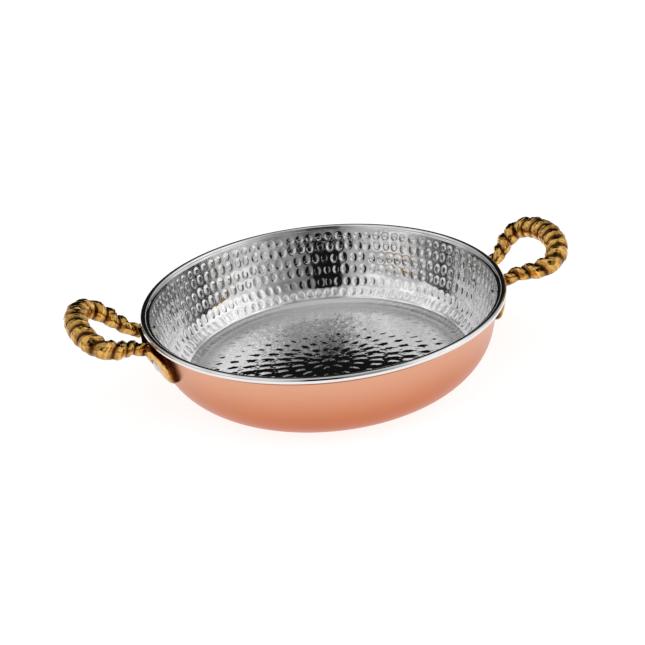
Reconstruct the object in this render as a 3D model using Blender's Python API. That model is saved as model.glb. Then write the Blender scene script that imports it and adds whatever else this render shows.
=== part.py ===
"""Two-handled copper frying pan, a shallow round pan of the kind called a sahan.

A copper body carries a bright lining that is turned out over the rim as a round bead. Two cast
brass rope handles stand out from the wall, each held by two rivets through ear, body and lining.
The pan stands on z = 0 with its axis on Z, and the handles lie along +X and -X.
"""
import bmesh
import bpy
import math
from mathutils import Matrix, Vector

MM = 0.001

# Sheet, clearances and working distances
COPPER_THICKNESS = 0.8 * MM
LINING_THICKNESS = 0.4 * MM
FIT_GAP = 0.3 * MM
CUT_OVERRUN = 3.0 * MM
MERGE_DISTANCE = 0.003 * MM
EDGE_ANGLE = math.radians(35)

# Body of the pan, to its outer face: the wall rolls round a wide corner and a tighter foot
RIM_RADIUS = 100.0 * MM
PAN_HEIGHT = 44.5 * MM
WALL_LEAN = math.radians(12.1)
CORNER_RADIUS = 32.0 * MM
FOOT_RADIUS = 10.5 * MM
FOOT_SLOPE = math.radians(31.3)

# Flare under the bead, to the lining's inner face, and the round copper lip inside the bead
FLARE_RADIUS = 17.0 * MM
FLARE_LEAN = math.radians(36.5)
LIP_RADIUS = 1.0 * MM

# Crease pressed into the lining's corner, where the wall meets the floor
CREASE_DEPTH = 0.2 * MM
CREASE_WIDTH = 1.4 * MM
CREASE_TURN_SHARE = 0.10

# Loop of the handle, along the middle of the rope
LOOP_ROOT_STANDOFF = 3.0 * MM
LOOP_ROOT_DROP = 5.5 * MM
LOOP_ROOT_HALF_GAP = 12.7 * MM
LOOP_HALF_WIDTH = 25.5 * MM
LOOP_LENGTH = 34.3 * MM
LOOP_CROWN_DEPTH = 12.1 * MM
LOOP_SWELL_REACH = 10.6 * MM
LOOP_SPREAD = math.radians(6.4)
LOOP_TILT = math.radians(27.8)
LOOP_ROOT_REACH = 5.3 * MM

# Rope: its radius at the legs and at the crown, and its strands
ROPE_LEG_RADIUS = 3.4 * MM
ROPE_CROWN_RADIUS = 6.4 * MM
ROPE_GROOVE_DEPTH = 1.5 * MM
ROPE_CREST_RISE = 0.5 * MM
ROPE_UNDERSIDE_SHARE = 0.35
ROPE_SLANT_SHARE = 0.55
STRAND_COUNT = 15

# Bracket that carries the loop, one ear each side, as it lies on the wall
EAR_HALF_SPAN = 31.6 * MM
EAR_DEPTH = 21.0 * MM
EAR_THICKNESS = 7.0 * MM
# Rows from the middle to the tip: place along the half span, top and bottom edge as shares of the
# ear's depth below the bead, and thickness
EAR_SHARES = (
    (0.00, 0.19, 0.47, 0.72),
    (0.20, 0.18, 0.50, 0.84),
    (0.36, 0.17, 0.60, 1.00),
    (0.55, 0.20, 0.86, 0.76),
    (0.72, 0.27, 0.99, 0.67),
    (0.87, 0.33, 1.00, 0.63),
    (0.96, 0.39, 0.97, 0.60),
    (1.00, 0.45, 0.91, 0.52),
)
# Section of the bracket: place from its top edge to its bottom edge, and share of the thickness
EAR_SECTION_SHARES = (
    (0.00, 0.00), (0.00, 0.76), (0.08, 0.96), (0.30, 1.00), (0.52, 1.00),
    (0.72, 0.97), (0.90, 0.84), (0.99, 0.50), (1.00, 0.00), (0.67, 0.00), (0.33, 0.00),
)

# Rivets, along the wall from the handle's middle and down from the bead
RIVET_SPACING = 37.0 * MM
RIVET_DROP = 12.5 * MM
RIVET_SHANK_RADIUS = 2.0 * MM
RIVET_OUTER_HEAD_RADIUS = 3.5 * MM
RIVET_OUTER_HEAD_HEIGHT = 1.8 * MM
RIVET_INNER_HEAD_RADIUS = 4.2 * MM
RIVET_INNER_HEAD_HEIGHT = 0.9 * MM
RIVET_HOLE_CLEARANCE = 0.3 * MM
RIVET_SEAT_THICKNESS = 3.5 * MM
RIVET_SEAT_MARGIN = 0.7 * MM
# Outline of a head, from its rim to its crown: shares of its radius and of its height
HEAD_SHARES = ((1.00, 0.00), (0.97, 0.40), (0.78, 0.76), (0.44, 0.96), (0.00, 1.00))

# Smoothness
TURN_STEPS = 60
FOOT_STEPS = 3
CORNER_STEPS = 5
FLARE_STEPS = 3
LIP_STEPS = 6
BEAD_STEPS = 9
CURL_STEPS = 6
RIVET_STEPS = 16
LOOP_STEPS = 24
ROPE_SIDES = 12
RINGS_PER_STRAND = 6
EAR_STATIONS = 30

# Worked out from the sizes above
LINING_GAP = LINING_THICKNESS + FIT_GAP
STACK = LINING_GAP + COPPER_THICKNESS
BEAD_RADIUS = LIP_RADIUS + LINING_GAP
BEAD_CENTRE = Vector((RIM_RADIUS - BEAD_RADIUS, PAN_HEIGHT - BEAD_RADIUS))


def toward_pan(lean):
    """Unit vector from a bead or flare centre to its face, in (radius, height)."""
    return Vector((-math.cos(lean), math.sin(lean)))


FLARE_CENTRE = BEAD_CENTRE - toward_pan(FLARE_LEAN) * (FLARE_RADIUS - BEAD_RADIUS)


FOOT_TO_CORNER = Vector((-math.sin(FOOT_SLOPE), math.cos(FOOT_SLOPE))) * (CORNER_RADIUS - FOOT_RADIUS)


def corner_centre():
    """Centre of the corner arc: as far out as the leaning wall lets it roll."""
    wall_top = FLARE_CENTRE + toward_pan(WALL_LEAN) * FLARE_RADIUS
    inner_radius = CORNER_RADIUS - STACK
    centre_height = FOOT_RADIUS + FOOT_TO_CORNER.y
    wall_foot_height = centre_height - inner_radius * math.sin(WALL_LEAN)
    wall_foot_radius = wall_top.x - (wall_top.y - wall_foot_height) * math.tan(WALL_LEAN)
    return Vector((wall_foot_radius - inner_radius * math.cos(WALL_LEAN), centre_height))


CORNER_CENTRE = corner_centre()
FOOT_CENTRE = CORNER_CENTRE - FOOT_TO_CORNER
CORNER_TURN_START = FOOT_SLOPE - math.pi / 2


def steps_between(first, last, count):
    """Evenly spaced values from first to last, both included."""
    return [first + (last - first) * i / count for i in range(count + 1)]


def ray(turn):
    """Unit vector at an angle above the outward direction, in (radius, height)."""
    return Vector((math.cos(turn), math.sin(turn)))


def face_path(offset, flare_end=FLARE_LEAN):
    """Points (radius, height) of one face, from the axis to the top of the flare.

    The offset is measured outwards from the lining's inner face.
    """
    points = [Vector((0, STACK - offset)), Vector((FOOT_CENTRE.x, STACK - offset))]
    for turn in steps_between(-math.pi / 2, CORNER_TURN_START, FOOT_STEPS)[1:]:
        points.append(FOOT_CENTRE + ray(turn) * (FOOT_RADIUS - STACK + offset))
    for turn in steps_between(CORNER_TURN_START, -WALL_LEAN, CORNER_STEPS)[1:]:
        points.append(CORNER_CENTRE + ray(turn) * (CORNER_RADIUS - STACK + offset))
    for lean in steps_between(WALL_LEAN, flare_end, FLARE_STEPS):
        points.append(FLARE_CENTRE + toward_pan(lean) * (FLARE_RADIUS - offset))
    return points


def round_bead(radius, first, last, count):
    """Arc about the bead's centre, from the pan's side over the top and round to the outside."""
    return [BEAD_CENTRE + toward_pan(lean) * radius for lean in steps_between(first, last, count)]


def copper_outline():
    """Closed outline of the copper sheet, with the round lip that the bead is turned over."""
    reach = FLARE_RADIUS - BEAD_RADIUS
    outer_radius = FLARE_RADIUS - STACK
    cut = math.acos((reach**2 + outer_radius**2 - LIP_RADIUS**2) / (2 * reach * outer_radius))
    outer = face_path(STACK, FLARE_LEAN - cut)
    meeting = outer[-1] - BEAD_CENTRE
    lip_end = math.atan2(meeting.y, -meeting.x) % math.tau
    lip = round_bead(LIP_RADIUS, lip_end, FLARE_LEAN, LIP_STEPS)
    inner = face_path(LINING_GAP)
    return outer + lip[1:-1] + inner[::-1]


def lining_outline():
    """Closed outline of the lining: floor, crease, wall and the bead round the copper lip."""
    inner = face_path(0)
    corner_radius = CORNER_RADIUS - STACK
    crease_turn = CORNER_TURN_START * (1 - CREASE_TURN_SHARE) - WALL_LEAN * CREASE_TURN_SHARE
    half_turn = CREASE_WIDTH / 2 / corner_radius
    crease = []
    for turn, depth in ((-half_turn, 0), (0, CREASE_DEPTH), (half_turn, 0)):
        crease.append(CORNER_CENTRE + ray(crease_turn + turn) * (corner_radius + depth))
    before = [p for p in inner if p.x < crease[0].x]
    after = [p for p in inner if p.x > crease[-1].x]
    outer_face_reach = COPPER_THICKNESS - LIP_RADIUS + FIT_GAP
    tuck = math.pi + FLARE_LEAN + math.acos(outer_face_reach / (LIP_RADIUS + FIT_GAP))
    over = round_bead(BEAD_RADIUS, FLARE_LEAN, tuck, BEAD_STEPS)
    under = round_bead(LIP_RADIUS + FIT_GAP, tuck, FLARE_LEAN, CURL_STEPS)
    return before + crease + after + over[1:] + under[:-1] + face_path(LINING_THICKNESS)[::-1]


def wall_face(height):
    """Radius of the copper's outer face at a height on the wall or the flare."""
    path = face_path(STACK)
    for low, high in zip(path[1:], path[2:]):
        if low.y <= height <= high.y:
            return low.x + (high.x - low.x) * (height - low.y) / (high.y - low.y)
    return path[-1].x


def finish(name, bm, material):
    """Turn a bmesh into a named object with smooth round faces and its own material."""
    bmesh.ops.recalc_face_normals(bm, faces=bm.faces)
    mesh = bpy.data.meshes.new(name)
    bm.to_mesh(mesh)
    bm.free()
    mesh.shade_smooth()
    mesh.set_sharp_from_angle(angle=EDGE_ANGLE)
    if material:
        mesh.materials.append(material)
    obj = bpy.data.objects.new(name, mesh)
    bpy.context.collection.objects.link(obj)
    return obj


def make_material(name, colour, metallic, roughness):
    """Principled material with the sub-part's plain colour."""
    material = bpy.data.materials.new(name)
    material.use_nodes = True
    shader = material.node_tree.nodes["Principled BSDF"]
    shader.inputs["Base Color"].default_value = (*colour, 1)
    shader.inputs["Metallic"].default_value = metallic
    shader.inputs["Roughness"].default_value = roughness
    return material


def turn_outline(outline, steps):
    """Spin a closed outline of (radius, height) points about Z into a bmesh."""
    bm = bmesh.new()
    verts = [bm.verts.new((point.x, 0, point.y)) for point in outline]
    ends_on_axis = outline[0].x == 0 and outline[-1].x == 0
    pairs = zip(verts, verts[1:] if ends_on_axis else verts[1:] + verts[:1])
    edges = [bm.edges.new(pair) for pair in pairs]
    bmesh.ops.spin(bm, geom=verts + edges, axis=(0, 0, 1), cent=(0, 0, 0),
                   angle=math.tau, steps=steps, use_merge=True)
    bmesh.ops.remove_doubles(bm, verts=bm.verts, dist=MERGE_DISTANCE)
    return bm


def hide_guide(obj):
    """Keep a cutter or a guide out of the model."""
    obj.hide_render = True
    obj.display_type = 'WIRE'


def add_boolean(obj, operation, other):
    """Join another solid to an object, or cut it out."""
    modifier = obj.modifiers.new(operation.title(), 'BOOLEAN')
    modifier.operation = operation
    modifier.solver = 'EXACT'
    modifier.object = other


# Where the rivets stand: their angle from the handle's middle, and their seat on the wall
RIVET_HEIGHT = BEAD_CENTRE.y - RIVET_DROP
RIVET_WALL_RADIUS = wall_face(RIVET_HEIGHT)
RIVET_ANGLE = RIVET_SPACING / 2 / RIVET_WALL_RADIUS


def rivet_frame(around):
    """Placement of a rivet: local +Z points out of the wall, from the copper's outer face."""
    seat = Matrix.Translation((RIVET_WALL_RADIUS, 0, RIVET_HEIGHT))
    return Matrix.Rotation(around, 4, 'Z') @ seat @ Matrix.Rotation(math.pi / 2 + WALL_LEAN, 4, 'Y')


def head_outline(radius, height, seat, side):
    """Outline of a rivet head from its rim to its crown, on the outer (1) or inner (-1) side."""
    return [Vector((radius * r, seat + side * height * h)) for r, h in HEAD_SHARES]


def rivet_bmesh():
    """One rivet with its shank, the domed outer head and the low head inside the pan."""
    outer_seat = FIT_GAP + RIVET_SEAT_THICKNESS + FIT_GAP
    inner_seat = -STACK - FIT_GAP
    outer = head_outline(RIVET_OUTER_HEAD_RADIUS, RIVET_OUTER_HEAD_HEIGHT, outer_seat, 1)
    inner = head_outline(RIVET_INNER_HEAD_RADIUS, RIVET_INNER_HEAD_HEIGHT, inner_seat, -1)
    shank = [Vector((RIVET_SHANK_RADIUS, inner_seat)), Vector((RIVET_SHANK_RADIUS, outer_seat))]
    return turn_outline(inner[::-1] + shank + outer, RIVET_STEPS)


def hole_cutter(name, around_angles, with_seat):
    """Holes for the shanks, with the flat seat of the outer head where it is asked for."""
    hole = RIVET_SHANK_RADIUS + RIVET_HOLE_CLEARANCE
    seat = RIVET_OUTER_HEAD_RADIUS + RIVET_SEAT_MARGIN
    bottom = -STACK - CUT_OVERRUN
    seat_floor = FIT_GAP + RIVET_SEAT_THICKNESS
    top = EAR_THICKNESS + CUT_OVERRUN
    outline = [Vector((0, bottom)), Vector((hole, bottom))]
    if with_seat:
        outline += [Vector((hole, seat_floor)), Vector((seat, seat_floor)), Vector((seat, top))]
    else:
        outline.append(Vector((hole, top)))
    outline.append(Vector((0, top)))
    bm = bmesh.new()
    for around in around_angles:
        one = turn_outline(outline, RIVET_STEPS)
        one.transform(rivet_frame(around))
        mesh = bpy.data.meshes.new(name)
        one.to_mesh(mesh)
        one.free()
        bm.from_mesh(mesh)
        bpy.data.meshes.remove(mesh)
    cutter = finish(name, bm, None)
    hide_guide(cutter)
    return cutter


def bezier(a, b, c, d, t):
    """Point of a cubic curve."""
    return a * (1 - t)**3 + b * 3 * t * (1 - t)**2 + c * 3 * t**2 * (1 - t) + d * t**3


def half_loop():
    """Middle line of half a loop in its own plane: (sideways, outwards), root to crown."""
    root = Vector((LOOP_ROOT_HALF_GAP, 0))
    shoulder = Vector((LOOP_HALF_WIDTH, LOOP_LENGTH - LOOP_CROWN_DEPTH))
    rise = Vector((math.sin(LOOP_SPREAD), math.cos(LOOP_SPREAD))) * LOOP_SWELL_REACH
    points = [root - rise.normalized() * LOOP_ROOT_REACH]
    for t in steps_between(0, 1, LOOP_STEPS):
        points.append(bezier(root, root + rise, shoulder - Vector((0, LOOP_SWELL_REACH)), shoulder, t))
    for turn in steps_between(0, math.pi / 2, LOOP_STEPS)[1:]:
        crown = Vector((LOOP_HALF_WIDTH * math.cos(turn), LOOP_CROWN_DEPTH * math.sin(turn)))
        points.append(Vector((0, LOOP_LENGTH - LOOP_CROWN_DEPTH)) + crown)
    return points


def even_points(points, count):
    """Points spaced evenly along a line, with the line's direction at each."""
    runs = [0]
    for a, b in zip(points, points[1:]):
        runs.append(runs[-1] + (b - a).length)
    spaced = []
    i = 0
    for target in steps_between(0, runs[-1], count):
        while i < len(points) - 2 and runs[i + 1] < target:
            i += 1
        share = (target - runs[i]) / (runs[i + 1] - runs[i])
        before, after = points[max(i - 1, 0)], points[min(i + 2, len(points) - 1)]
        direction = (points[i + 1] - points[i]).normalized()
        entry = (points[i] - before).normalized() if i > 0 else direction
        leave = (after - points[i + 1]).normalized() if i < len(points) - 2 else direction
        tangent = (entry + direction).lerp(direction + leave, share).normalized()
        spaced.append((points[i].lerp(points[i + 1], share), tangent))
    return spaced


def rope_radius(share, around):
    """Distance from the rope's middle to its surface, strands included.

    The strands lie square across the crown and lean outwards towards it on both legs, alike on
    the upper and the lower face, as the two halves of the casting mould leave them.
    """
    body = ROPE_LEG_RADIUS + (ROPE_CROWN_RADIUS - ROPE_LEG_RADIUS) * math.sin(math.pi * share)
    slant = -ROPE_SLANT_SHARE * math.cos(math.pi * share) * math.cos(around)
    strand = abs(math.sin(math.pi * (STRAND_COUNT * share + slant)))
    upper = (1 + math.sin(around)) / 2
    depth = ROPE_GROOVE_DEPTH * (ROPE_UNDERSIDE_SHARE + (1 - ROPE_UNDERSIDE_SHARE) * upper)
    return body + ROPE_CREST_RISE * upper - depth * (1 - strand)


def loop_bmesh():
    """The rope loop along +X: rings of points carried round the loop's middle line."""
    half = half_loop()
    line = half + [Vector((-p.x, p.y)) for p in half[-2::-1]]
    outward = Vector((math.cos(LOOP_TILT), 0, math.sin(LOOP_TILT)))
    sideways = Vector((0, 1, 0))
    up = outward.cross(sideways)
    root_height = BEAD_CENTRE.y - LOOP_ROOT_DROP
    origin = Vector((RIM_RADIUS + LOOP_ROOT_STANDOFF, 0, root_height))
    bm = bmesh.new()
    rings = []
    spaced = even_points(line, STRAND_COUNT * RINGS_PER_STRAND)
    for i, (point, tangent) in enumerate(spaced):
        share = i / (len(spaced) - 1)
        middle = origin + sideways * point.x + outward * point.y
        away = sideways * tangent.y - outward * tangent.x
        ring = []
        for k in range(ROPE_SIDES):
            around = math.tau * k / ROPE_SIDES
            spoke = away * math.cos(around) + up * math.sin(around)
            ring.append(bm.verts.new(middle + spoke * rope_radius(share, around)))
        rings.append(ring)
    join_rings(bm, rings)
    return bm


def join_rings(bm, rings):
    """Close a row of rings into one skin with a cap at each end."""
    for low, high in zip(rings, rings[1:]):
        for k in range(len(low)):
            after = (k + 1) % len(low)
            bm.faces.new((low[k], low[after], high[after], high[k]))
    bm.faces.new(rings[0][::-1])
    bm.faces.new(rings[-1])


def smooth_between(rows, place):
    """Row of values at a place, with an even tangent through the rows on both sides."""
    i = max(j for j in range(len(rows) - 1) if rows[j][0] <= place)
    a, b = rows[i], rows[i + 1]
    before = rows[i - 1] if i > 0 else (-rows[1][0], *rows[1][1:])
    after = rows[i + 2] if i + 2 < len(rows) else b
    width = b[0] - a[0]
    t = (place - a[0]) / width
    values = []
    for k in range(1, len(a)):
        slope_a = (b[k] - before[k]) / (b[0] - before[0]) * width
        slope_b = (after[k] - a[k]) / (after[0] - a[0]) * width
        values.append(bezier(a[k], a[k] + slope_a / 3, b[k] - slope_b / 3, b[k], t))
    return values


def bracket_bmesh():
    """The bracket along +X: sections across both ears, lying on the wall with a fit gap."""
    bm = bmesh.new()
    rings = []
    for place in steps_between(-1, 1, EAR_STATIONS):
        top, bottom, thickness = smooth_between(EAR_SHARES, abs(place))
        angle = place * EAR_HALF_SPAN / RIVET_WALL_RADIUS
        ring = []
        for down, out in EAR_SECTION_SHARES:
            height = BEAD_CENTRE.y - EAR_DEPTH * (top + (bottom - top) * down)
            stand = FIT_GAP / math.cos(FLARE_LEAN) + EAR_THICKNESS * thickness * out
            radius = wall_face(height) + stand
            ring.append(bm.verts.new((radius * math.cos(angle), radius * math.sin(angle), height)))
        rings.append(ring)
    join_rings(bm, rings)
    return bm


def handle_mesh(brass):
    """Mesh of one handle along +X: bracket and loop cast in one, with the rivet seats cut."""
    bracket = finish("handle_casting", bracket_bmesh(), brass)
    loop = finish("rope_loop", loop_bmesh(), brass)
    seats = hole_cutter("rivet_seats", (RIVET_ANGLE, -RIVET_ANGLE), True)
    hide_guide(bracket)
    hide_guide(loop)
    add_boolean(bracket, 'UNION', loop)
    add_boolean(bracket, 'DIFFERENCE', seats)
    bpy.context.view_layer.update()
    depsgraph = bpy.context.evaluated_depsgraph_get()
    mesh = bpy.data.meshes.new_from_object(bracket.evaluated_get(depsgraph))
    for guide in (bracket, loop, seats):
        bpy.data.objects.remove(guide)
    return mesh


def place_copy(name, mesh, matrix):
    """Place one copy of a repeated piece."""
    obj = bpy.data.objects.new(name, mesh)
    obj.matrix_world = matrix
    bpy.context.collection.objects.link(obj)
    return obj


def main():
    for obj in list(bpy.data.objects):
        bpy.data.objects.remove(obj)
    copper = make_material("copper", (0.80, 0.36, 0.22), 1, 0.32)
    bright = make_material("bright_lining", (0.75, 0.75, 0.74), 1, 0.18)
    brass = make_material("brass", (0.66, 0.42, 0.12), 1, 0.30)
    steel = make_material("rivet_steel", (0.62, 0.61, 0.60), 1, 0.28)

    # Body and lining
    body = finish("copper_body", turn_outline(copper_outline(), TURN_STEPS), copper)
    lining = finish("bright_lining", turn_outline(lining_outline(), TURN_STEPS), bright)
    rivets = {
        "right_handle_front_rivet": -RIVET_ANGLE,
        "right_handle_back_rivet": RIVET_ANGLE,
        "left_handle_front_rivet": math.pi + RIVET_ANGLE,
        "left_handle_back_rivet": math.pi - RIVET_ANGLE,
    }
    holes = hole_cutter("rivet_holes", rivets.values(), False)
    add_boolean(body, 'DIFFERENCE', holes)
    add_boolean(lining, 'DIFFERENCE', holes)

    # Handles
    handle = handle_mesh(brass)
    place_copy("right_handle", handle, Matrix.Identity(4))
    place_copy("left_handle", handle, Matrix.Rotation(math.pi, 4, 'Z'))

    # Rivets
    pattern = finish("rivet_pattern", rivet_bmesh(), steel)
    for name, around in rivets.items():
        place_copy(name, pattern.data, rivet_frame(around))
    bpy.data.objects.remove(pattern)


main()
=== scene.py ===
# %% [markdown]
# # A two-handled hammered copper frying pan
# The pan is four trades in one object: a copper sheet spun into a bowl, a bright sheet hammered
# inside it and rolled over its rim, two cast brass rope handles, and the rivets that join them.
# This lesson dresses the plain solids of that pan. Each piece is modelled again at full detail in
# the place of its solid, and gets a material made only of nodes.

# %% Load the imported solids
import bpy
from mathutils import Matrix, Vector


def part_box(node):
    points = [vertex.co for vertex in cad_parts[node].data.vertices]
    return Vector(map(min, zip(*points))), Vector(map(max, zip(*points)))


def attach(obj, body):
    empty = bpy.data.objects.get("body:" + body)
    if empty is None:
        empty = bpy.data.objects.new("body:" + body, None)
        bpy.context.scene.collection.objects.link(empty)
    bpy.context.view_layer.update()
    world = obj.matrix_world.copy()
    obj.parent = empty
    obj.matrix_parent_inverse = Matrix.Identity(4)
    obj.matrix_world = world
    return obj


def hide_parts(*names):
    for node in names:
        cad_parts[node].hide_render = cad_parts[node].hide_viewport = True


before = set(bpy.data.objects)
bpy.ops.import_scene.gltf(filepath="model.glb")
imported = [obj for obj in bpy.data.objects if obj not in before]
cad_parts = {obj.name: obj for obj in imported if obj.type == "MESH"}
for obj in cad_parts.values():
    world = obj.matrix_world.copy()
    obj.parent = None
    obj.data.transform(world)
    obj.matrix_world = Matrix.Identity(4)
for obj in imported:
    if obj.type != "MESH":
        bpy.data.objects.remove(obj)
print("the frame has", len(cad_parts), "nodes")

# %% [markdown]
# ## Sizes
# The solids say how wide and how high the pan is, so those two sizes are read from them. The rest
# are the sheet-metal worker's sizes: how thick each sheet is and how it bends. Angles named lean
# are measured from the upright, and everything else is in metres.

# %% Sizes of the pan
import math

import bmesh
import bpy
import numpy as np
from mathutils import Matrix, Vector, kdtree, noise

MM = 0.001
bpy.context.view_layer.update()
RIM_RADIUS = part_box("bright_lining")[1].x
PAN_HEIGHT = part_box("bright_lining")[1].z

COPPER_THICKNESS = 0.8 * MM
LINING_THICKNESS = 0.4 * MM
FIT_GAP = 0.3 * MM
WALL_LEAN = math.radians(12.1)
CORNER_RADIUS = 32.0 * MM
FOOT_RADIUS = 10.5 * MM
FOOT_SLOPE = math.radians(31.3)
FLARE_RADIUS = 17.0 * MM
FLARE_LEAN = math.radians(36.5)
LIP_RADIUS = 1.0 * MM
CREASE_TURN_SHARE = 0.10
MERGE_DISTANCE = 0.002 * MM

LINING_GAP = LINING_THICKNESS + FIT_GAP
STACK = LINING_GAP + COPPER_THICKNESS
BEAD_RADIUS = LIP_RADIUS + LINING_GAP
BEAD_CENTRE = Vector((RIM_RADIUS - BEAD_RADIUS, PAN_HEIGHT - BEAD_RADIUS))
print("rim radius", round(RIM_RADIUS / MM, 2), "mm, height", round(PAN_HEIGHT / MM, 2), "mm")

# %% [markdown]
# ## Camera
# The photo looks down into the pan at about 25 degrees, with the camera slightly turned and
# slightly tipped to one side. A long lens far away keeps the rim's ellipse calm. The camera is set
# from its distance and angles to the middle of the rim, so no guess by eye is left.

# %% Camera at the photo's angle
LENS_MM = 78.14
CAMERA_DISTANCE = 765.5 * MM
CAMERA_ELEVATION = math.radians(24.53)
CAMERA_TURN = math.radians(-12.41)
CAMERA_ROLL = math.radians(-5.56)
AIM_BELOW_RIM = math.radians(1.125)

bpy.ops.object.camera_add()
camera = bpy.context.object
camera.name = "photo_camera"
camera.data.lens = LENS_MM
facing = Matrix.Rotation(CAMERA_TURN, 4, 'Z') @ Matrix.Rotation(math.pi / 2 - CAMERA_ELEVATION, 4, 'X')
facing = facing @ Matrix.Rotation(CAMERA_ROLL, 4, 'Z')
stand = Matrix.Translation((0, 0, BEAD_CENTRE.y)) @ facing @ Matrix.Translation((0, 0, CAMERA_DISTANCE))
camera.matrix_world = stand @ Matrix.Rotation(-AIM_BELOW_RIM, 4, 'X')
bpy.context.scene.camera = camera
VIEW_BACK = Vector((-math.sin(CAMERA_TURN), math.cos(CAMERA_TURN), 0))
VIEW_RIGHT = Vector((math.cos(CAMERA_TURN), math.sin(CAMERA_TURN), 0))
print("camera stands at", [round(v, 3) for v in camera.matrix_world.translation])

# %% [markdown]
# ## Floor and studio
# Polished metal shows the room and not itself, so the studio is half of this picture. The floor is
# a wide pale sheet that glows by itself, as a white sweep lit from below does. Round it stands an
# even grey room with six cards: a bright one overhead and on each side, a dark one behind the pan,
# a dim one at the camera and a narrow black one in its middle. The bright lining mirrors the one
# behind as black on the near half of its floor, and the black one at the camera as the dark patch
# of the back wall. Lamps would leave hard spots in such a mirror, so the cards are painted into the
# world's own light, each with an edge as soft as its reflection needs. A slow mottle over it all
# stands for the rest of the room, because a perfectly even light would hide the hammer marks.

# %% Pale floor
FLOOR_RADIUS = 9.0
FLOOR_SIDES = 96
FLOOR_COLOUR = (0.45, 0.45, 0.45)
FLOOR_GLOW = 0.84
FLOOR_ROUGHNESS = 0.9
FLOOR_SHEEN = 0.1


def deselect_all():
    """Nothing is selected and no object is in edit mode."""
    if bpy.context.object and bpy.context.object.mode != 'OBJECT':
        bpy.ops.object.mode_set(mode='OBJECT')
    bpy.ops.object.select_all(action='DESELECT')


def work_on(obj):
    """Only this object is selected, and it is the active one."""
    deselect_all()
    obj.select_set(True)
    bpy.context.view_layer.objects.active = obj


deselect_all()
bpy.ops.mesh.primitive_circle_add(vertices=FLOOR_SIDES, radius=FLOOR_RADIUS, fill_type='NGON')
studio_floor = bpy.context.object
studio_floor.name = "studio_floor"
floor_paint = bpy.data.materials.new("pale_floor")
floor_paint.use_nodes = True
floor_shader = floor_paint.node_tree.nodes["Principled BSDF"]
floor_shader.inputs["Base Color"].default_value = (*FLOOR_COLOUR, 1)
floor_shader.inputs["Roughness"].default_value = FLOOR_ROUGHNESS
floor_shader.inputs["Specular IOR Level"].default_value = FLOOR_SHEEN
floor_shader.inputs["Emission Color"].default_value = (1, 1, 1, 1)
floor_shader.inputs["Emission Strength"].default_value = FLOOR_GLOW
studio_floor.data.materials.append(floor_paint)
print("the studio floor is", 2 * FLOOR_RADIUS, "m wide")

# %% Grey room with six cards
MOTTLE_SCALE = 4.0
MOTTLE_NOISE_RANGE = (0.3, 0.7)
MOTTLE_LIGHT_RANGE = (0.70, 1.26)
ROOM_LIGHT = 0.52
BACKDROP_LIGHT = 1.0
# Turn from straight behind the pan to the right, half width, soft edge, foot, head and soft edge,
# all in degrees, and the card's light
STUDIO_CARDS = {
    "ceiling": (0, 181, 2, 66, 120, 14, 0.80),
    "left_box": (-106, 44, 20, 13, 66, 34, 1.18),
    "right_box": (98, 32, 50, -6, 60, 30, 1.45),
    "dim_card_at_camera": (172, 16, 60, -12, 50, 24, 0.15),
    "black_card_at_camera": (185, 12, 5, 4, 52, 5, 0.012),
    "dark_card_behind": (0, 36, 14, -25, 67, 10, 0.010),
}
# A Mix node's places for its two values and its result, for each kind of value
MIX_SOCKETS = {'FLOAT': (2, 3, 0), 'RGBA': (6, 7, 2)}


def add_node(tree, kind, values=(), **settings):
    """A node with its settings, and its first inputs set or linked in order."""
    node = tree.nodes.new(kind)
    for name, value in settings.items():
        setattr(node, name, value)
    for socket, value in zip(node.inputs, values):
        if isinstance(value, bpy.types.NodeSocket):
            tree.links.new(value, socket)
        elif value is not None:
            socket.default_value = value
    return node


def sum_up(tree, operation, *values):
    """Result of one Math node."""
    return add_node(tree, 'ShaderNodeMath', values, operation=operation).outputs[0]


def ease(tree, value, low, high, to_low=0.0, to_high=1.0):
    """A smooth step of a value from one number to another."""
    node = add_node(tree, 'ShaderNodeMapRange', (value, low, high, to_low, to_high),
                    interpolation_type='SMOOTHSTEP')
    return node.outputs["Result"]


def blend(tree, share, first, second, kind='FLOAT'):
    """A number or a colour between two others."""
    first_socket, second_socket, result = MIX_SOCKETS[kind]
    node = add_node(tree, 'ShaderNodeMix', (share,), data_type=kind)
    for value, socket in ((first, node.inputs[first_socket]), (second, node.inputs[second_socket])):
        if isinstance(value, bpy.types.NodeSocket):
            tree.links.new(value, socket)
        else:
            socket.default_value = value
    return node.outputs[result]


def card_mask(tree, turn, lift, edges):
    """One inside a card and nothing outside it, with a soft edge all round."""
    centre, half_width, side_edge, foot, head, end_edge = (math.radians(v) for v in edges)
    off = sum_up(tree, 'WRAP', sum_up(tree, 'SUBTRACT', turn, centre), math.pi, -math.pi)
    off = sum_up(tree, 'ABSOLUTE', off)
    across = ease(tree, off, half_width + side_edge / 2, half_width - side_edge / 2)
    above_foot = ease(tree, lift, foot - end_edge / 2, foot + end_edge / 2)
    below_head = ease(tree, lift, head + end_edge / 2, head - end_edge / 2)
    return sum_up(tree, 'MULTIPLY', across, sum_up(tree, 'MULTIPLY', above_foot, below_head))


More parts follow.
